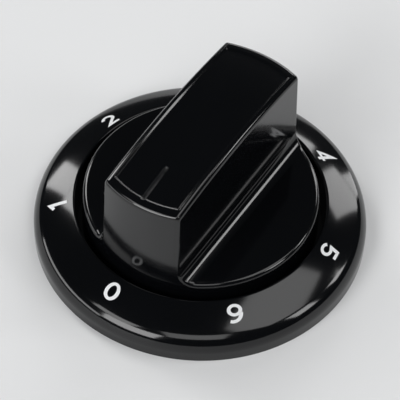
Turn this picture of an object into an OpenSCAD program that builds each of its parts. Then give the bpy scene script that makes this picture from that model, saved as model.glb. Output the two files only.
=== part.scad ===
// Cooker control knob: a bar handle that turns inside a separate dial ring.
// The base plane of the ring is Z = 0, the shaft axis is Z and the pointer end of the grip faces -Y.

/* [Overall] */
// Diameter of the dial ring at its foot
knob_d = 63; // [58:0.5:70]
// Height of the grip at its middle
grip_h = 30; // [26:0.5:36]

/* [Dial ring] */
// Width of the ring seen from above
ring_w = 8; // [7:0.1:9.5]
// Height of the ring's inner lip
lip_h = 8.1; // [7.2:0.1:9]
// Thickness of the ring's skin
ring_wall = 1.8; // [1.5:0.1:2.2]
// Number of stiffening ribs under the ring
ring_ribs = 12; // [6:1:16]

/* [Handle] */
// Gap between the ring's lip and the handle's round wall
lip_gap = 1.3; // [0.8:0.1:1.6]
// Height of the flat shoulders above the ring's lip
shoulder_rise = 2.15; // [1.5:0.05:3]
// Width of the grip across its top
grip_w = 15.9; // [14:0.1:18]
// Radius of the lengthwise crown of the grip
crown_r = 140; // [110:5:200]
// Radius of the edges around the top of the grip
edge_r = 1; // [0.6:0.1:1.2]
// Radius of the rounded rim of the shoulders
rim_r = 0.95; // [0.6:0.05:1.2]
// Radius of the fillet between the grip's sides and the shoulders
foot_r = 2.7; // [1.5:0.1:3]
// Thickness of the handle's walls
handle_wall = 1.9; // [1.6:0.1:2.2]

/* [Top panel and pointer] */
// Width of the raised border around the sunk panel
border_w = 1.05; // [0.8:0.05:1.4]
// Depth of the sunk panel
panel_depth = 0.3; // [0.2:0.05:0.5]
// Length of the pointer groove
pointer_len = 8; // [5:0.5:14]
// Width of the pointer groove
pointer_w = 0.7; // [0.5:0.05:1.2]

/* [Shaft socket] */
// Diameter of the D shaped socket
socket_d = 6.1; // [5.8:0.05:6.4]
// Socket size across its flat
socket_flat = 4.6; // [4.4:0.05:4.9]
// Depth of the socket from the hub's mouth
socket_depth = 14; // [12:0.5:16]
// Diameter of the round lead-in at the mouth
lead_in_d = 6.5; // [6.45:0.05:6.8]
// Height of the hub's mouth above the base plane
mouth_h = 5.6; // [5.2:0.1:6.2]
// Thickness of the spring clip
clip_t = 0.4; // [0.3:0.05:0.5]

/* [Hidden] */
$fn = 96;

// smoothness of the large arcs and the small overlap used to join or clear shapes
wide_fn = 240;
eps = 0.2;
reach = 60;

// running clearance between the ring and the handle
play = 0.3;

// ring outline: one wide arc over the top, then a tighter arc down to the foot
ring_r = knob_d / 2;
bore_r = ring_r - ring_w;
lip_slope = 19;
brow_slope = 28.8;
brow_r = ring_r - ring_w / 4;
top_arc_r = (brow_r - bore_r) / (sin(brow_slope) - sin(lip_slope));
top_arc_x = bore_r - top_arc_r * sin(lip_slope);
top_arc_z = lip_h - top_arc_r * cos(lip_slope);
brow_z = top_arc_z + top_arc_r * cos(brow_slope);
edge_arc_r = (ring_r - brow_r) / (1 - sin(brow_slope));
edge_arc_x = ring_r - edge_arc_r;
edge_arc_z = brow_z - edge_arc_r * cos(brow_slope);
lip_round = 0.45;
lip_round_x = bore_r + lip_round;
lip_round_z = top_arc_z + sqrt(pow(top_arc_r - lip_round, 2) - pow(lip_round_x - top_arc_x, 2));
lip_turn = atan2(lip_round_z - top_arc_z, lip_round_x - top_arc_x);
ring_rib_t = 1.2;

// flange inside the ring that carries the handle
flange_z = 1.4;
flange_t = 1.6;
flange_top = flange_z + flange_t;
flange_r = bore_r - 5.5;

// round wall of the handle, leaning in by a small draft
wall_draft = 1.7;
disc_r = bore_r - lip_gap + lip_h * tan(wall_draft);
shoulder_z = lip_h + shoulder_rise;
skirt_z = flange_top + play;
function wall_r(z) = disc_r - z * tan(wall_draft);
rim_z = shoulder_z - rim_r;
rim_x = wall_r(rim_z) - rim_r / cos(wall_draft);

// grip: half width, side draft and crown
side_draft = 1.5;
half_w = grip_w / 2;
crown_axis_z = grip_h - crown_r;
crown_sweep = 30;
cap_t = 5;
cap_overlap = 1;
cap_z = grip_h - cap_t + cap_overlap;
function side_x(z) = half_w + (cap_z - z) * tan(side_draft);
foot_x = side_x(shoulder_z + foot_r) + foot_r / cos(side_draft) - 0.02;
foot_z = shoulder_z + foot_r;

// upper edge of the grip's end faces, a little below the middle of the crown
end_drop = 1.65;
end_r = wall_r(grip_h - end_drop);
end_tilt = asin(end_r / crown_r);
end_z = crown_axis_z + crown_r * cos(end_tilt);
end_arc_r = end_r * cos(end_tilt);
end_lean = end_tilt + wall_draft;
end_step = edge_r / tan(45 + end_lean / 2);
end_bite = 0.03;

// sunk panel with sloped borders
panel_slope = 0.9;
panel_half = half_w - border_w - panel_slope;
panel_end_r = end_r - border_w - panel_slope;
pointer_start = 0.4;
pointer_depth = 0.3;

// hollow side of the handle
roof_t = 2.1;
cavity_top = shoulder_z - 2;
cavity_r = wall_r(cavity_top) - handle_wall;
core_half = half_w - handle_wall;
core_end_r = end_r - handle_wall;
core_depth = grip_h - cavity_top + eps;
hub_r = 5.4;
rib_t = 1.6;
rib_z = mouth_h + 1.4;
side_rib_y = 6;

// snap fingers that hold the handle in the ring
finger_r = flange_r - play;
finger_t = 1.8;
finger_tip = 0.35;
finger_sweep = 36;
finger_count = 4;
barb = 1;
barb_land = 0.3;
barb_z = flange_z - play;

// socket, lead-in and the pocket of the spring clip
socket_r = socket_d / 2;
flat_y = socket_flat - socket_r;
lead_in_len = 3;
pocket_w = 3.6;
pocket_y = lead_in_d / 2 + 0.2;
pocket_z = mouth_h + lead_in_len;
clip_len = socket_depth - lead_in_len - 1;
clip_w = pocket_w - 0.3;
clip_press = 0.1;
clip_y = flat_y - clip_press;
clip_bow = pocket_y - 0.05 - clip_t - clip_y;
clip_arc_r = (pow(clip_len / 2, 2) + pow(clip_bow, 2)) / (2 * clip_bow);
clip_z = pocket_z + 0.5 + clip_len / 2;

// Area under the ring's two arcs, drawn smaller by inset.
module ring_area(inset) {
    intersection() {
        translate([top_arc_x, top_arc_z])
            circle(r = top_arc_r - inset, $fn = wide_fn);
        translate([bore_r, -1])
            square([brow_r - bore_r, lip_h + 1]);
    }
    intersection() {
        translate([edge_arc_x, edge_arc_z])
            circle(r = edge_arc_r - inset);
        translate([brow_r - eps, edge_arc_z])
            square([edge_arc_r, edge_arc_r]);
    }
    translate([brow_r - eps, -1])
        square([ring_r - inset - brow_r + eps, edge_arc_z + 1]);
}

// Corner outside the rounded lip.
module lip_corner() {
    difference() {
        polygon([
            [bore_r - 1, lip_round_z],
            [lip_round_x, lip_round_z],
            [lip_round_x + 2 * lip_round * cos(lip_turn), lip_round_z + 2 * lip_round * sin(lip_turn)],
            [bore_r - 1, lip_round_z + 2]
        ]);
        translate([lip_round_x, lip_round_z])
            circle(r = lip_round);
    }
}

// Half section of the ring, radius along X and height along Y.
module ring_section() {
    difference() {
        ring_area(0);
        lip_corner();
        translate([bore_r - 1, -2])
            square([ring_w + 2, 2]);
        intersection() {
            ring_area(ring_wall);
            translate([bore_r + ring_wall, -2])
                square([ring_w, lip_h + 2]);
        }
        translate([bore_r - 1, -1])
            square([ring_wall + 1 + eps, flange_z + 1]);
    }
    translate([flange_r, flange_z])
        square([bore_r + ring_wall - flange_r, flange_t]);
}

// Radial ribs in the hollow of the ring.
module ring_rib_set() {
    intersection() {
        rotate_extrude()
            intersection() {
                ring_area(ring_wall - eps);
                translate([bore_r + ring_wall - eps, flange_z])
                    square([ring_w - 2 * ring_wall + 2 * eps, lip_h]);
            }
        for (i = [0 : ring_ribs - 1])
            rotate([0, 0, (i + 0.5) * 360 / ring_ribs])
                translate([bore_r, -ring_rib_t / 2, 0])
                    cube([ring_w, ring_rib_t, lip_h]);
    }
}

// Half section with a leaning wall and a rounded rim.
module disc_section() {
    polygon([
        [0, skirt_z],
        [wall_r(skirt_z), skirt_z],
        [rim_x + rim_r * cos(wall_draft), rim_z + rim_r * sin(wall_draft)],
        [rim_x, rim_z],
        [rim_x, shoulder_z],
        [0, shoulder_z]
    ]);
    intersection() {
        translate([rim_x, rim_z])
            circle(r = rim_r);
        translate([rim_x - eps, rim_z - eps])
            square([rim_r + 2 * eps, rim_r + 2 * eps]);
    }
}

// Sweeps a section around the crown's axis: section X is the distance from that axis, section Y runs across.
module crown_sweep_of() {
    translate([0, 0, crown_axis_z])
        rotate([0, -90, 0])
            rotate([0, 0, -crown_sweep / 2])
                rotate_extrude(angle = crown_sweep, $fn = wide_fn)
                    children();
}

// Cross section of a bar with two rounded upper edges, drawn around the crown's axis.
module bar_section(half, top, round, depth) {
    difference() {
        translate([top - depth, -half])
            square([depth, 2 * half]);
        for (side = [0, 1])
            mirror([0, side])
                difference() {
                    translate([top - round, half - round])
                        square([2 * round, 2 * round]);
                    translate([top - round, half - round])
                        circle(r = round);
                }
    }
}

// Leaning sides of the grip below its crowned cap.
module grip_flanks() {
    rotate([90, 0, 0])
        linear_extrude(height = 2 * disc_r, center = true)
            polygon([
                [-side_x(skirt_z), skirt_z],
                [side_x(skirt_z), skirt_z],
                [half_w, cap_z],
                [-half_w, cap_z]
            ]);
}

// Fillets along the foot of the grip.
module foot_fillets() {
    for (side = [0, 1])
        mirror([side, 0, 0])
            rotate([90, 0, 0])
                linear_extrude(height = 2 * disc_r, center = true)
                    difference() {
                        translate([0, rim_z])
                            square([foot_x, foot_z - rim_z]);
                        translate([foot_x, foot_z])
                            circle(r = foot_r);
                    }
}

// Waste outside the rounded upper edge of the front end face.
module end_waste() {
    translate([0, -end_r + end_arc_r * cos(end_tilt), end_z + end_arc_r * sin(end_tilt)])
        rotate([end_tilt, 0, 0])
            rotate_extrude($fn = wide_fn)
                difference() {
                    polygon([
                        [end_arc_r - end_step - end_bite, -edge_r - end_bite],
                        [end_arc_r + 2 * edge_r, -edge_r * (1 - sin(end_lean)) - end_bite],
                        [end_arc_r + 2 * edge_r, 2 * edge_r],
                        [end_arc_r - end_step - end_bite, 2 * edge_r]
                    ]);
                    translate([end_arc_r - end_step - end_bite, -edge_r - end_bite])
                        circle(r = edge_r);
                }
}

// Sunk panel and pointer groove in the top of the grip.
module top_marks() {
    intersection() {
        crown_sweep_of()
            polygon([
                [crown_r - panel_depth, -panel_half],
                [crown_r + panel_depth, -panel_half - 2 * panel_slope],
                [crown_r + panel_depth, panel_half + 2 * panel_slope],
                [crown_r - panel_depth, panel_half]
            ]);
        cylinder(h = reach, r = panel_end_r);
    }
    intersection() {
        crown_sweep_of()
            translate([crown_r - panel_depth - pointer_depth, -pointer_w / 2])
                square([2 * panel_depth + pointer_depth, pointer_w]);
        translate([-pointer_w, -panel_end_r - pointer_start, 0])
            cube([2 * pointer_w, pointer_len, reach]);
    }
}

// Solid outside of the handle.
module handle_body() {
    difference() {
        union() {
            rotate_extrude()
                disc_section();
            intersection() {
                union() {
                    crown_sweep_of()
                        bar_section(half_w, crown_r, edge_r, cap_t);
                    grip_flanks();
                    foot_fillets();
                }
                translate([0, 0, rim_z - eps])
                    cylinder(h = reach, r1 = wall_r(rim_z - eps), r2 = wall_r(rim_z - eps + reach));
            }
        }
        end_waste();
        mirror([0, 1, 0])
            end_waste();
        top_marks();
    }
}

// Hollow of the disc and the grip, less the hub and the ribs left standing in it.
module handle_hollow() {
    difference() {
        union() {
            translate([0, 0, skirt_z - eps])
                cylinder(h = cavity_top - skirt_z + eps, r = cavity_r);
            intersection() {
                crown_sweep_of()
                    translate([crown_r - core_depth, -core_half])
                        square([core_depth - roof_t, 2 * core_half]);
                cylinder(h = reach, r = core_end_r);
            }
        }
        translate([0, 0, mouth_h])
            cylinder(h = reach, r = hub_r);
        for (turn = [0, 90])
            rotate([0, 0, turn])
                translate([-reach, -rib_t / 2, rib_z])
                    cube([2 * reach, rib_t, reach]);
        for (side = [0, 1])
            for (end = [0, 1])
                mirror([side, 0, 0])
                    mirror([0, end, 0])
                        translate([core_half + eps, side_rib_y, rib_z])
                            cube([reach, rib_t, reach]);
    }
}

// Curved fingers whose barbs hook under the ring's flange.
module snap_fingers() {
    for (i = [0 : finger_count - 1])
        rotate([0, 0, (i + 0.5) * 360 / finger_count - finger_sweep / 2])
            rotate_extrude(angle = finger_sweep)
                polygon([
                    [finger_r - finger_t, cavity_top + eps],
                    [finger_r - finger_t, finger_tip],
                    [finger_r, finger_tip],
                    [finger_r + barb, barb_z - barb_land],
                    [finger_r + barb, barb_z],
                    [finger_r, barb_z],
                    [finger_r, cavity_top + eps]
                ]);
}

// D shaped socket with its round lead-in and the pocket beside its flat.
module shaft_socket() {
    translate([0, 0, mouth_h - eps])
        cylinder(h = lead_in_len + eps, d = lead_in_d);
    intersection() {
        translate([0, 0, mouth_h])
            cylinder(h = socket_depth, r = socket_r);
        translate([-socket_d, flat_y - 2 * socket_d, mouth_h])
            cube([2 * socket_d, 2 * socket_d, socket_depth]);
    }
    translate([-pocket_w / 2, 0, pocket_z])
        cube([pocket_w, pocket_y, socket_depth - lead_in_len]);
}

module dial_ring() {
    color([0.02, 0.02, 0.025]) {
        rotate_extrude()
            ring_section();
        ring_rib_set();
    }
}

module handle() {
    color([0.02, 0.02, 0.025])
        difference() {
            union() {
                difference() {
                    handle_body();
                    handle_hollow();
                }
                snap_fingers();
            }
            shaft_socket();
        }
}

module shaft_clip() {
    color([0.75, 0.75, 0.77])
        translate([-clip_w / 2, clip_y + clip_arc_r + clip_t, clip_z])
            rotate([90, 0, 90])
                linear_extrude(height = clip_w)
                    intersection() {
                        difference() {
                            circle(r = clip_arc_r + clip_t, $fn = wide_fn);
                            circle(r = clip_arc_r, $fn = wide_fn);
                        }
                        translate([-clip_arc_r - 2 * clip_t, -clip_len / 2])
                            square([clip_arc_r, clip_len]);
                    }
}

dial_ring();
handle();
shaft_clip();
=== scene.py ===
import math

import bpy
import numpy as np
from mathutils import Matrix, Vector
from mathutils.bvhtree import BVHTree


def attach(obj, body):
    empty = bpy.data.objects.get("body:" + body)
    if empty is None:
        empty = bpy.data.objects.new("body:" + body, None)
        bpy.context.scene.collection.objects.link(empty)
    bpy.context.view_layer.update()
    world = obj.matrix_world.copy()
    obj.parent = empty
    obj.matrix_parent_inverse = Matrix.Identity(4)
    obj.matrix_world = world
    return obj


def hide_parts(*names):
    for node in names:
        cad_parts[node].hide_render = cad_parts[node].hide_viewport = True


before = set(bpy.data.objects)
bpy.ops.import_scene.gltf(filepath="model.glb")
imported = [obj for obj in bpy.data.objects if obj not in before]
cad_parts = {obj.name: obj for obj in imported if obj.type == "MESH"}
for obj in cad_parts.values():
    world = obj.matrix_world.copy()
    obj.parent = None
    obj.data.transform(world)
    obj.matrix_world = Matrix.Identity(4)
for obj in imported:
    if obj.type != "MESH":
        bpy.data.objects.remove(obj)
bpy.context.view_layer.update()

MM = 0.001

# dial ring, in millimetres
RING_R, RING_W, LIP_H, RING_WALL = 31.5, 8.0, 8.1, 1.8
BORE_R = RING_R - RING_W
INNER_R, OUTER_R = BORE_R + RING_WALL, RING_R - RING_WALL
FLANGE_Z, FLANGE_T, FLANGE_R = 1.4, 1.6, BORE_R - 5.5
RIBS, RIB_HALF = 12, 0.6
LATHE_STEPS = 320

# its upper face: one large arc from the lip to the brow, then a small one down to the foot
LIP_SLOPE, BROW_SLOPE = math.radians(19), math.radians(28.8)
BROW_R = RING_R - RING_W / 4
TOP_R = (BROW_R - BORE_R) / (math.sin(BROW_SLOPE) - math.sin(LIP_SLOPE))
TOP_X = BORE_R - TOP_R * math.sin(LIP_SLOPE)
TOP_Z = LIP_H - TOP_R * math.cos(LIP_SLOPE)
BROW_Z = TOP_Z + TOP_R * math.cos(BROW_SLOPE)
ARC_R = (RING_R - BROW_R) / (1 - math.sin(BROW_SLOPE))
ARC_X = RING_R - ARC_R
ARC_Z = BROW_Z - ARC_R * math.cos(BROW_SLOPE)
LIP_ROUND = 0.45
LIP_X = BORE_R + LIP_ROUND
LIP_Z = TOP_Z + math.sqrt((TOP_R - LIP_ROUND) ** 2 - (LIP_X - TOP_X) ** 2)
LIP_TURN = math.atan2(LIP_Z - TOP_Z, LIP_X - TOP_X)

# handle
LIP_GAP = 1.3
WALL_DRAFT = math.radians(1.7)
DISC_R = BORE_R - LIP_GAP + LIP_H * math.tan(WALL_DRAFT)
SHOULDER_Z, SKIRT_Z = 10.25, 3.3
RIM_R, FOOT_R, EDGE_R, CORNER_R = 0.95, 2.7, 1.0, 0.5
GRIP_H, HALF_W, FOOT_FLARE = 30.0, 7.95, 0.32
CROWN_R = 140.0
CROWN_Z = GRIP_H - CROWN_R
FOOT_TOP_X = HALF_W + FOOT_FLARE
SIDE_TILT = math.atan2(FOOT_TOP_X - HALF_W, GRIP_H - EDGE_R - SHOULDER_Z - FOOT_R)
FOOT_Z = SHOULDER_Z + FOOT_R
FOOT_X = FOOT_TOP_X + FOOT_R * math.cos(SIDE_TILT)

# sunk panel and pointer groove on the crown
PANEL_DEPTH, PANEL_HALF, PANEL_SLOPE = 0.3, 6.5, 0.4
PANEL_END_R, PANEL_END_SLOPE = 19.65, 0.36
GROOVE_HALF, GROOVE_LEN, GROOVE_DEPTH, GROOVE_END = 0.32, 8.0, 0.24, 0.1
GROOVE_START = -PANEL_END_R - 0.4
GROOVE_STOP = GROOVE_START + GROOVE_LEN

# rows of the handle's skin
PAD_ROWS, FOOT_ROWS, SIDE_ROWS, EDGE_ROWS = 44, 24, 19, 12
CROWN_XS = (
    6.92, 6.87, 6.7, 6.53, 6.48, 6.42, 6.2, 5.6, 5.0, 4.2, 3.4,
    2.6, 1.8, 1.1, 0.6, 0.4, 0.34, 0.3, 0.2, 0.1, 0.04, 0.0,
)
BORDER_X = 6.88
FAN = 8
END_POINTS = FAN + 2
HOLLOW_GAP = 0.75


def mesh_object(name, verts, faces, normals=None):
    """A linked mesh from points in millimetres, smooth where normals are given."""
    mesh = bpy.data.meshes.new(name)
    mesh.from_pydata([tuple(float(c) * MM for c in v) for v in verts], [], faces)
    mesh.update()
    if normals is not None:
        mesh.polygons.foreach_set("use_smooth", [True] * len(mesh.polygons))
        mesh.normals_split_custom_set_from_vertices([tuple(map(float, n)) for n in normals])
    obj = bpy.data.objects.new(name, mesh)
    bpy.context.scene.collection.objects.link(obj)
    return obj


def ring_z(r):
    """Height of the ring's upper face at a radius."""
    if r <= BROW_R:
        return TOP_Z + math.sqrt(TOP_R ** 2 - (r - TOP_X) ** 2)
    return ARC_Z + math.sqrt(max(0.0, ARC_R ** 2 - (r - ARC_X) ** 2))


def arc(cx, cz, r, a0, a1, n):
    """Points and outward normals along an arc of the ring's section."""
    return [
        (cx + r * math.cos(a), cz + r * math.sin(a), math.cos(a), math.sin(a))
        for a in np.linspace(a0, a1, n + 1)
    ]


def line(x0, z0, x1, z1, nx, nz):
    return [(x0, z0, nx, nz), (x1, z1, nx, nz)]


def inward(points):
    return [(x, z, -nx, -nz) for x, z, nx, nz in points]


def ring_profile():
    """Closed section of the ring, from the foot over the top to the underside."""
    level = math.radians(90)
    top_z = FLANGE_Z + FLANGE_T
    out = line(RING_R, 0.0, RING_R, ARC_Z, 1, 0)
    out += arc(ARC_X, ARC_Z, ARC_R, 0.0, level - BROW_SLOPE, 22)
    out += arc(TOP_X, TOP_Z, TOP_R, level - BROW_SLOPE, LIP_TURN, 28)
    out += arc(LIP_X, LIP_Z, LIP_ROUND, LIP_TURN, 2 * level, 10)
    out += line(BORE_R, LIP_Z, BORE_R, top_z, -1, 0)
    out += line(BORE_R, top_z, FLANGE_R, top_z, 0, 1)
    out += line(FLANGE_R, top_z, FLANGE_R, FLANGE_Z, -1, 0)
    out += line(FLANGE_R, FLANGE_Z, INNER_R, FLANGE_Z, 0, -1)
    under_r, brow_r = TOP_R - RING_WALL, ARC_R - RING_WALL
    under_z = TOP_Z + math.sqrt(under_r ** 2 - (INNER_R - TOP_X) ** 2)
    out += line(INNER_R, FLANGE_Z, INNER_R, under_z, 1, 0)
    start = math.atan2(under_z - TOP_Z, INNER_R - TOP_X)
    stop = math.acos((BROW_R - TOP_X) / under_r)
    out += inward(arc(TOP_X, TOP_Z, under_r, start, stop, 14))
    brow = math.acos(min(1.0, (BROW_R - ARC_X) / brow_r))
    out += inward(arc(ARC_X, ARC_Z, brow_r, brow, 0.0, 8))
    out += line(OUTER_R, ARC_Z, OUTER_R, 0.0, -1, 0)
    out += line(OUTER_R, 0.0, RING_R, 0.0, 0, -1)
    return out


def lathe(profile, steps):
    verts, normals, faces = [], [], []
    for k in range(steps):
        c, s = math.cos(2 * math.pi * k / steps), math.sin(2 * math.pi * k / steps)
        for x, z, nx, nz in profile:
            verts.append((x * c, x * s, z))
            normals.append((nx * c, nx * s, nz))
    n = len(profile)
    for k in range(steps):
        a, b = k * n, (k + 1) % steps * n
        for i in range(n - 1):
            p, q = profile[i], profile[i + 1]
            if math.hypot(p[0] - q[0], p[1] - q[1]) > 1e-6:
                faces.append((a + i, b + i, b + i + 1, a + i + 1))
    return verts, faces, normals


def ring_ribs(verts, faces, normals):
    """Adds the two sides and the lower edge of each stiffening rib under the ring."""
    under_r, brow_r = TOP_R - RING_WALL, ARC_R - RING_WALL
    tops = [
        (x, TOP_Z + math.sqrt(under_r ** 2 - (x - TOP_X) ** 2))
        for x in np.linspace(INNER_R, BROW_R, 8)
    ]
    tops += [
        (ARC_X + brow_r * math.cos(a), ARC_Z + brow_r * math.sin(a))
        for a in np.linspace(0.9, 0.15, 5)
    ]
    outline = [(INNER_R, FLANGE_Z)] + tops + [(OUTER_R, FLANGE_Z)]
    corners = (
        (INNER_R, -RIB_HALF), (OUTER_R, -RIB_HALF), (OUTER_R, RIB_HALF), (INNER_R, RIB_HALF),
    )
    for k in range(RIBS):
        a = 2 * math.pi * (k + 0.5) / RIBS
        c, s = math.cos(a), math.sin(a)
        for side in (-RIB_HALF, RIB_HALF):
            base = len(verts)
            sign = 1 if side > 0 else -1
            for x, z in outline:
                verts.append((x * c - side * s, x * s + side * c, z))
                normals.append((-s * sign, c * sign, 0))
            order = list(range(base, base + len(outline)))
            faces.append(tuple(order if sign < 0 else order[::-1]))
        base = len(verts)
        for x, side in corners:
            verts.append((x * c - side * s, x * s + side * c, FLANGE_Z))
            normals.append((0, 0, -1))
        faces.append((base + 3, base + 2, base + 1, base))


verts, faces, normals = lathe(ring_profile(), LATHE_STEPS)
ring_ribs(verts, faces, normals)
ring = mesh_object("dial_ring_body", verts, faces, normals)
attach(ring, "ring")
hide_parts("dial_ring")


def wall_r(z):
    """Radius of the handle's drafted round wall."""
    return DISC_R - z * math.tan(WALL_DRAFT)


def slice_list():
    """Slices across the handle from its +X rim to the middle: (kind, value, end radius)."""
    rim_c = wall_r(SHOULDER_Z - RIM_R) - RIM_R / math.cos(WALL_DRAFT)
    upright = math.pi / 2 - SIDE_TILT
    out = [
        ("pad", rim_c * math.cos(a), RIM_R)
        for a in np.linspace(0.0, math.acos(FOOT_X / rim_c), PAD_ROWS)
    ]
    for t in np.linspace(0, 1, FOOT_ROWS + 1)[1:]:
        ease = 3 * t * t - 2 * t ** 3
        out.append(("foot", t * upright, RIM_R + (CORNER_R - RIM_R) * ease))
    for t in np.linspace(0, 1, SIDE_ROWS + 1)[1:]:
        out.append(("side", t, CORNER_R))
    for t in np.linspace(0, 1, EDGE_ROWS + 1)[1:]:
        out.append(("edge", (1 - t) * upright, CORNER_R + (EDGE_R - CORNER_R) * t))
    return out + [("crown", x, EDGE_R) for x in CROWN_XS]


def surface(kind, v, y):
    """Point and outward normal of a slice at y, on the +X half."""
    if kind == "pad":
        return np.array([v, y, SHOULDER_Z]), np.array([0.0, 0.0, 1.0])
    if kind == "foot":
        n = np.array([math.sin(v), 0.0, math.cos(v)])
        return np.array([FOOT_X, y, FOOT_Z]) - FOOT_R * n, n
    phi = math.asin(max(-1, min(1, y / CROWN_R)))
    up = np.array([0.0, math.sin(phi), math.cos(phi)])
    axis = np.array([0.0, 0.0, CROWN_Z])
    if kind == "side":
        low = FOOT_Z - FOOT_R * math.sin(SIDE_TILT)
        edge_r = CROWN_R - EDGE_R + EDGE_R * math.sin(SIDE_TILT)
        z = low + (CROWN_Z + edge_r * math.cos(phi) - low) * v
        x = HALF_W - EDGE_R + EDGE_R * math.cos(SIDE_TILT)
        x += (CROWN_Z + edge_r - z) * math.tan(SIDE_TILT)
        return np.array([x, y, z]), np.array([math.cos(SIDE_TILT), 0.0, math.sin(SIDE_TILT)])
    if kind == "edge":
        n = np.array([math.sin(v), 0, 0]) + math.cos(v) * up
        centre = np.array([HALF_W - EDGE_R, 0, 0]) + axis + (CROWN_R - EDGE_R) * up
        return centre + EDGE_R * n, n
    return np.array([v, 0, 0]) + axis + CROWN_R * up, up


def ball_end(kind, v, r):
    """y at which a ball of radius r inside the slice also touches the round wall."""
    def off(y):
        p, n = surface(kind, v, y)
        q = p - r * n
        return math.hypot(q[0], q[1]) - (wall_r(q[2]) - r / math.cos(WALL_DRAFT))
    if off(0.0) >= -1e-9:
        return 0.0
    lo, hi = 0.0, 23.0
    for _ in range(60):
        mid = (lo + hi) / 2
        if off(mid) < 0:
            lo = mid
        else:
            hi = mid
    return lo


def ramp(t):
    return min(1.0, max(0.0, t))


def sunk(x, y):
    """Depth of the panel and the pointer groove below the crown."""
    side = ramp((PANEL_HALF + PANEL_SLOPE - abs(x)) / PANEL_SLOPE)
    end = ramp((PANEL_END_R - math.hypot(x, y)) / PANEL_END_SLOPE + 0.5)
    across = ramp((GROOVE_HALF - abs(x)) / GROOVE_HALF)
    inside = min(y - GROOVE_START, GROOVE_STOP - y) + 0.04
    return PANEL_DEPTH * min(side, end) + GROOVE_DEPTH * min(across, ramp(inside / GROOVE_END))


def y_stations(x):
    """Stations from the front end to the back end of a crown slice."""
    def at(r):
        return math.sqrt(r * r - x * x)
    ends = [at(PANEL_END_R + d) for d in (-0.22, -0.14, 0.0, 0.14, 0.22)]
    front = sorted([GROOVE_START + d for d in (-0.06, -0.01, 0.05)] + [-y for y in ends])
    middle = list(np.linspace(-17.9, GROOVE_STOP - 0.4, 8))
    middle += [GROOVE_STOP + d for d in (-0.08, -0.02, 0.03, 0.1)]
    return front + middle + list(np.linspace(GROOVE_STOP + 1.0, 17.9, 22)) + ends


def pull_in(ys, end):
    """Stations past the front end of a slice are spread between that end and the next one."""
    past = sum(y < -0.998 * end for y in ys)
    step = (ys[past] + end) / (past + 1)
    return [-end + step * (k + 1) for k in range(past)] + ys[past:]


def round_end(kind, v, r, y):
    """Points and normals up the round wall and over the edge, at one end of a slice."""
    p, n = surface(kind, v, y)
    q = p - r * n
    az = math.atan2(q[1], q[0]) if y else 0.0
    flat = math.cos(WALL_DRAFT)
    m = np.array([flat * math.cos(az), flat * math.sin(az), math.sin(WALL_DRAFT)])
    turn = math.acos(max(-1, min(1, float(n @ m))))
    top = (q + r * m)[2]
    out = []
    for t in (0.0, 0.5):
        z = SKIRT_Z + (top - SKIRT_Z) * t
        out.append((np.array([wall_r(z) * math.cos(az), wall_r(z) * math.sin(az), z]), m))
    for k in range(FAN):
        t = k / FAN
        d = (math.sin((1 - t) * turn) * m + math.sin(t * turn) * n) / math.sin(turn)
        out.append((q + r * d, d))
    return out


def handle_skin():
    """One closed skin of the handle down to its skirt, as a grid of slices."""
    slices = slice_list()
    border_end = ball_end("crown", BORDER_X, EDGE_R)
    shares = [y / border_end for y in pull_in(y_stations(BORDER_X), border_end)]
    rows = []
    for kind, v, r in slices:
        end = ball_end(kind, v, r)
        ys = pull_in(y_stations(v), end) if kind == "crown" else [s * end for s in shares]
        row = round_end(kind, v, r, -end)
        for y in [-end] + ys + [end]:
            p, n = surface(kind, v, y)
            if kind == "crown":
                p = p - sunk(v, y) * n
            row.append((p, n))
        rows.append(row + round_end(kind, v, r, end)[::-1])
    mirror = np.array([-1, 1, 1])
    rows += [[(p * mirror, n * mirror) for p, n in row] for row in rows[-2::-1]]
    pts = np.array([[p for p, _ in row] for row in rows])
    nrm = np.array([[n for _, n in row] for row in rows])

    # the panel and the groove take their normals from the grid itself
    ds, dt = np.zeros_like(pts), np.zeros_like(pts)
    ds[1:-1] = pts[2:] - pts[:-2]
    dt[:, 1:-1] = pts[:, 2:] - pts[:, :-2]
    grid = np.cross(dt, ds)
    grid /= np.maximum(np.linalg.norm(grid, axis=2, keepdims=True), 1e-12)
    grid *= np.sign(np.sum(grid * nrm, axis=2, keepdims=True) + 1e-12)
    kinds = [kind for kind, _, _ in slices]
    crown = np.array([kind == "crown" for kind in kinds + kinds[-2::-1]])
    count = pts.shape[1]
    upper = np.zeros(pts.shape[:2], bool)
    upper[crown, END_POINTS + 1:count - END_POINTS - 1] = True
    nrm[upper] = grid[upper]

    pts, nrm = pts.reshape(-1, 3), nrm.reshape(-1, 3)
    faces = []
    for a in range(len(pts) - count):
        if a % count == count - 1:
            continue
        quad = (a, a + 1, a + count + 1, a + count)
        p = pts[list(quad)]
        if np.linalg.norm(np.cross(p[2] - p[0], p[3] - p[1])) > 1e-7:
            faces.append(quad)
    return pts, faces, nrm


verts, faces, normals = handle_skin()
skin = mesh_object("handle_body", verts, faces, normals)

# the hollow side keeps the faces of the solid that the skin doesn't stand for
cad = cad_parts["handle"].data
tree = BVHTree.FromPolygons([tuple(v * MM) for v in verts], faces)
inside = [
    tuple(poly.vertices) for poly in cad.polygons
    if tree.find_nearest(poly.center)[3] > HOLLOW_GAP * MM
    or (poly.normal.z < -0.99 and poly.center.z < SKIRT_Z * MM + 1e-5)
]
used = sorted({i for f in inside for i in f})
index = {v: k for k, v in enumerate(used)}
hollow_obj = mesh_object(
    "handle_hollow", [cad.vertices[i].co / MM for i in used],
    [tuple(index[i] for i in f) for f in inside],
)
for obj in (skin, hollow_obj):
    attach(obj, "turning_handle")
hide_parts("handle")

# printed numbers: height, width of upright and of level strokes, and thickness of the print
CAP, STEM, BAR, INK = 3.5, 0.7, 0.56, 0.012
DENSE = 0.2
TILT = math.radians(23)
TOP, LOW = CAP - BAR / 2, BAR / 2


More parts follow.
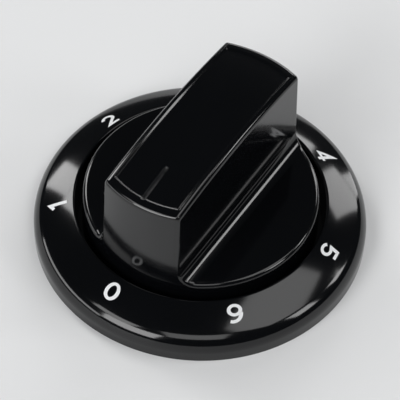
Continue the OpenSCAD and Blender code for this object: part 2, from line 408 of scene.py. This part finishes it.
def ell(cx, cy, rx, ry, a0, a1, n=24):
    """Points along part of an ellipse, in degrees."""
    return [
        (cx + rx * math.cos(a), cy + ry * math.sin(a))
        for a in np.linspace(math.radians(a0), math.radians(a1), n + 1)
    ]


# centre lines of the strokes, and whether each closes on itself
GLYPHS = {
    0: [(ell(0, CAP / 2, 1.1, CAP / 2 - BAR / 2, 0, 360, 64), True)],
    1: [([(-0.98, 2.68), (0.0, 3.42), (0.0, 0.0)], False)],
    2: [(ell(0.0, 2.36, 1.0, TOP - 2.36, 172, -38, 40) + [(-1.12, LOW), (1.25, LOW)], False)],
    3: [(ell(0, 2.5, 0.92, TOP - 2.5, 165, -90, 30)
         + ell(0, 1.01, 1.08, 1.01 - LOW, 90, -165, 30), False)],
    4: [([(0.42, 0.0), (0.42, 3.3), (-1.2, 0.98), (1.25, 0.98)], False)],
    5: [([(0.85, TOP), (-0.72, TOP), (-0.95, 1.72)]
         + ell(0.0, 1.13, 1.1, 1.13 - LOW, 128, -158, 40), False)],
    6: [(ell(0.45, 1.6, 1.55, TOP - 1.6, 66, 176, 30), False),
        (ell(0, 1.15, 1.1, 1.15 - LOW, 0, 360, 48), True)],
}
# where each number's middle lies: degrees from +X and millimetres from the axis
PLACES = {
    0: (-94.6, 26.57), 1: (-145.1, 26.7), 2: (-195.6, 26.4), 3: (-248.7, 26.3),
    4: (-301.7, 26.3), 5: (-353.0, 26.4), 6: (-403.7, 26.5),
}


def stroke(path, closed):
    """Left and right edges along a path; upright strokes are wider than level ones."""
    p = np.array(path)
    if closed:
        p = p[:-1]
    n = len(p)
    left, right = [], []
    for i in range(n):
        before = p[i] - p[i - 1] if closed or i > 0 else p[i + 1] - p[i]
        after = p[(i + 1) % n] - p[i] if closed or i < n - 1 else before
        d0, d1 = before / np.linalg.norm(before), after / np.linalg.norm(after)
        n0, n1 = np.array([-d0[1], d0[0]]), np.array([-d1[1], d1[0]])
        w0 = math.hypot(STEM * d0[1], BAR * d0[0]) / 2
        w1 = math.hypot(STEM * d1[1], BAR * d1[0]) / 2
        cross = d0[0] * d1[1] - d0[1] * d1[0]
        if abs(cross) < 0.2:
            off = (n0 + n1) / np.linalg.norm(n0 + n1) * (w0 + w1) / 2
            left.append(p[i] + off)
            right.append(p[i] - off)
            continue
        for sign, out in ((1, left), (-1, right)):
            q0, q1 = p[i] + sign * w0 * n0, p[i] + sign * w1 * n1
            t = ((q1 - q0)[0] * d1[1] - (q1 - q0)[1] * d1[0]) / cross
            out.append(q0 + d0 * max(-2.0, min(2.0, t)))
    return left, right


def on_ring(point, angle, mid):
    """Place of a glyph point on the print, and the normal there."""
    u, v = point
    r = mid + (v - CAP / 2) * math.cos(TILT)
    a = angle - u / mid
    slope = math.asin((r - TOP_X) / TOP_R)
    nx, nz = math.sin(slope), math.cos(slope)
    x, z = r + INK * nx, ring_z(r) + INK * nz
    c, s = math.cos(a), math.sin(a)
    return (x * c, x * s, z), (nx * c, nx * s, nz)


def number(k):
    degrees, mid = PLACES[k]
    verts, faces, normals = [], [], []
    for path, closed in GLYPHS[k]:
        dense = []
        for a, b in zip(path, path[1:]):
            steps = max(1, math.ceil(math.dist(a, b) / DENSE))
            dense += [
                (a[0] + (b[0] - a[0]) * i / steps, a[1] + (b[1] - a[1]) * i / steps)
                for i in range(steps)
            ]
        left, right = stroke(dense + [path[-1]], closed)
        n, base = len(left), len(verts)
        for l, r in zip(left, right):
            for t in (0.0, 0.5, 1.0):
                place, normal = on_ring(l * (1 - t) + r * t, math.radians(degrees), mid)
                verts.append(place)
                normals.append(normal)
        for i in range(n if closed else n - 1):
            j = (i + 1) % n
            for t in (0, 1):
                p, q = base + 3 * i + t, base + 3 * j + t
                faces.append((p, p + 1, q + 1, q))
    obj = mesh_object("number_%d" % k, verts, faces, normals)
    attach(obj, "ring")
    return obj


numbers = [number(k) for k in GLYPHS]


def mottled(name, low, high, rough_low, rough_high, scale, metallic=0.0):
    """A material whose colour and roughness drift with a soft noise."""
    mat = bpy.data.materials.new(name)
    mat.use_nodes = True
    nodes, links = mat.node_tree.nodes, mat.node_tree.links
    bsdf = nodes["Principled BSDF"]
    coord = nodes.new("ShaderNodeTexCoord")
    noise = nodes.new("ShaderNodeTexNoise")
    noise.inputs["Scale"].default_value = scale
    noise.inputs["Detail"].default_value = 4
    links.new(coord.outputs["Object"], noise.inputs["Vector"])
    colours = nodes.new("ShaderNodeValToRGB")
    colours.color_ramp.elements[0].color = (*low, 1)
    colours.color_ramp.elements[1].color = (*high, 1)
    links.new(noise.outputs["Fac"], colours.inputs["Fac"])
    links.new(colours.outputs["Color"], bsdf.inputs["Base Color"])
    span = nodes.new("ShaderNodeMapRange")
    span.inputs["To Min"].default_value = rough_low
    span.inputs["To Max"].default_value = rough_high
    links.new(noise.outputs["Fac"], span.inputs["Value"])
    links.new(span.outputs["Result"], bsdf.inputs["Roughness"])
    bsdf.inputs["Metallic"].default_value = metallic
    return mat


black = mottled(
    "black_plastic", (0.0012, 0.0014, 0.0018), (0.0022, 0.0025, 0.0032), 0.08, 0.12, 60)
black_in = mottled(
    "black_plastic_inside", (0.010, 0.010, 0.011), (0.014, 0.014, 0.015), 0.35, 0.45, 90)
ink = mottled("number_ink", (0.74, 0.75, 0.76), (0.82, 0.83, 0.84), 0.4, 0.5, 400)
steel = mottled("clip_steel", (0.5, 0.5, 0.52), (0.66, 0.66, 0.68), 0.25, 0.4, 900, metallic=1.0)
pale = mottled("pale_floor", (0.74, 0.745, 0.75), (0.77, 0.775, 0.78), 0.55, 0.6, 3)

ring.data.materials.append(black)
skin.data.materials.append(black)
hollow_obj.data.materials.append(black_in)
for obj in numbers:
    obj.data.materials.append(ink)
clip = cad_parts["shaft_clip"]
clip.data.materials.clear()
clip.data.materials.append(steel)

# plain floor
FLOOR = 3000
floor = mesh_object(
    "floor", [(-FLOOR, -FLOOR, 0), (FLOOR, -FLOOR, 0), (FLOOR, FLOOR, 0), (-FLOOR, FLOOR, 0)],
    [(0, 1, 2, 3)])
floor.data.materials.append(pale)


def direction(az, el):
    """Unit vector away from the knob; azimuth 0 is towards -Y and 90 towards +X."""
    a, e = math.radians(az), math.radians(el)
    return Vector((math.sin(a) * math.cos(e), -math.cos(a) * math.cos(e), math.sin(e)))


def softbox(name, az, el, dist, width, height, radiance):
    light = bpy.data.lights.new(name, "AREA")
    light.shape = "RECTANGLE"
    light.size, light.size_y = width, height
    light.energy = radiance * math.pi * width * height
    obj = bpy.data.objects.new(name, light)
    z = direction(az, el)
    x = Vector((0, 0, 1)).cross(z).normalized()
    turn = Matrix((x, z.cross(x), z)).transposed().to_4x4()
    obj.matrix_world = Matrix.Translation(z * dist) @ turn
    bpy.context.scene.collection.objects.link(obj)


# azimuth and elevation in degrees, distance, width and height in metres, radiance
softbox("box_right_low", 170, 8, 0.9, 0.14, 0.28, 4.5)
softbox("box_right_high", 170, 26, 0.9, 0.24, 0.28, 4.5)
softbox("box_left_low", -109, 24, 0.9, 0.15, 0.24, 7.0)
softbox("box_left_high", -109, 40, 0.9, 0.24, 0.26, 7.0)
softbox("box_over", 108, 62, 0.7, 0.46, 0.30, 2.3)
softbox("box_side", 100, 34, 0.9, 0.22, 0.28, 6.0)
softbox("box_fillet", 130, 33, 0.9, 0.16, 0.20, 7.0)
softbox("box_front", -8, 26, 0.9, 0.5, 0.4, 6.5)
softbox("box_front_high", -25, 46, 0.9, 0.35, 0.22, 3.5)
softbox("box_strip", -52, 12, 1.0, 1.0, 0.16, 4.0)
softbox("box_back", -160, 22, 1.0, 0.5, 0.24, 5.0)
softbox("box_camera", 31, 50, 1.2, 0.6, 0.5, 2.0)

world = bpy.data.worlds.new("studio")
bpy.context.scene.world = world
world.use_nodes = True
world.node_tree.nodes["Background"].inputs["Color"].default_value = (0.9, 0.95, 1.0, 1)
world.node_tree.nodes["Background"].inputs["Strength"].default_value = 0.04

# camera fitted to the photo: its angles, distance, scale at the aim and place of the aim
AZ, EL, ROLL, DIST = 31.12, 51.46, -2.01, 0.424
AIM = Vector((0, 0, 0.008))
PICTURE, SENSOR = 400, 36
PX_PER_MM, AIM_X, AIM_Y = 5.333, 200.85, 197.7
away = direction(AZ, EL)
right = Vector((math.cos(math.radians(AZ)), math.sin(math.radians(AZ)), 0))
up = away.cross(right)
cr, sr = math.cos(math.radians(ROLL)), math.sin(math.radians(ROLL))
turn = Matrix((right * cr - up * sr, right * sr + up * cr, away)).transposed().to_4x4()
camera = bpy.data.cameras.new("camera")
camera.sensor_width = SENSOR
camera.lens = PX_PER_MM * DIST / MM / PICTURE * SENSOR
camera.shift_x = (PICTURE / 2 - AIM_X) / PICTURE
camera.shift_y = (AIM_Y - PICTURE / 2) / PICTURE
camera.clip_start = 0.01
cam = bpy.data.objects.new("camera", camera)
cam.matrix_world = Matrix.Translation(AIM + away * DIST) @ turn
bpy.context.scene.collection.objects.link(cam)
bpy.context.scene.camera = cam
bpy.context.scene.view_settings.view_transform = "Standard"
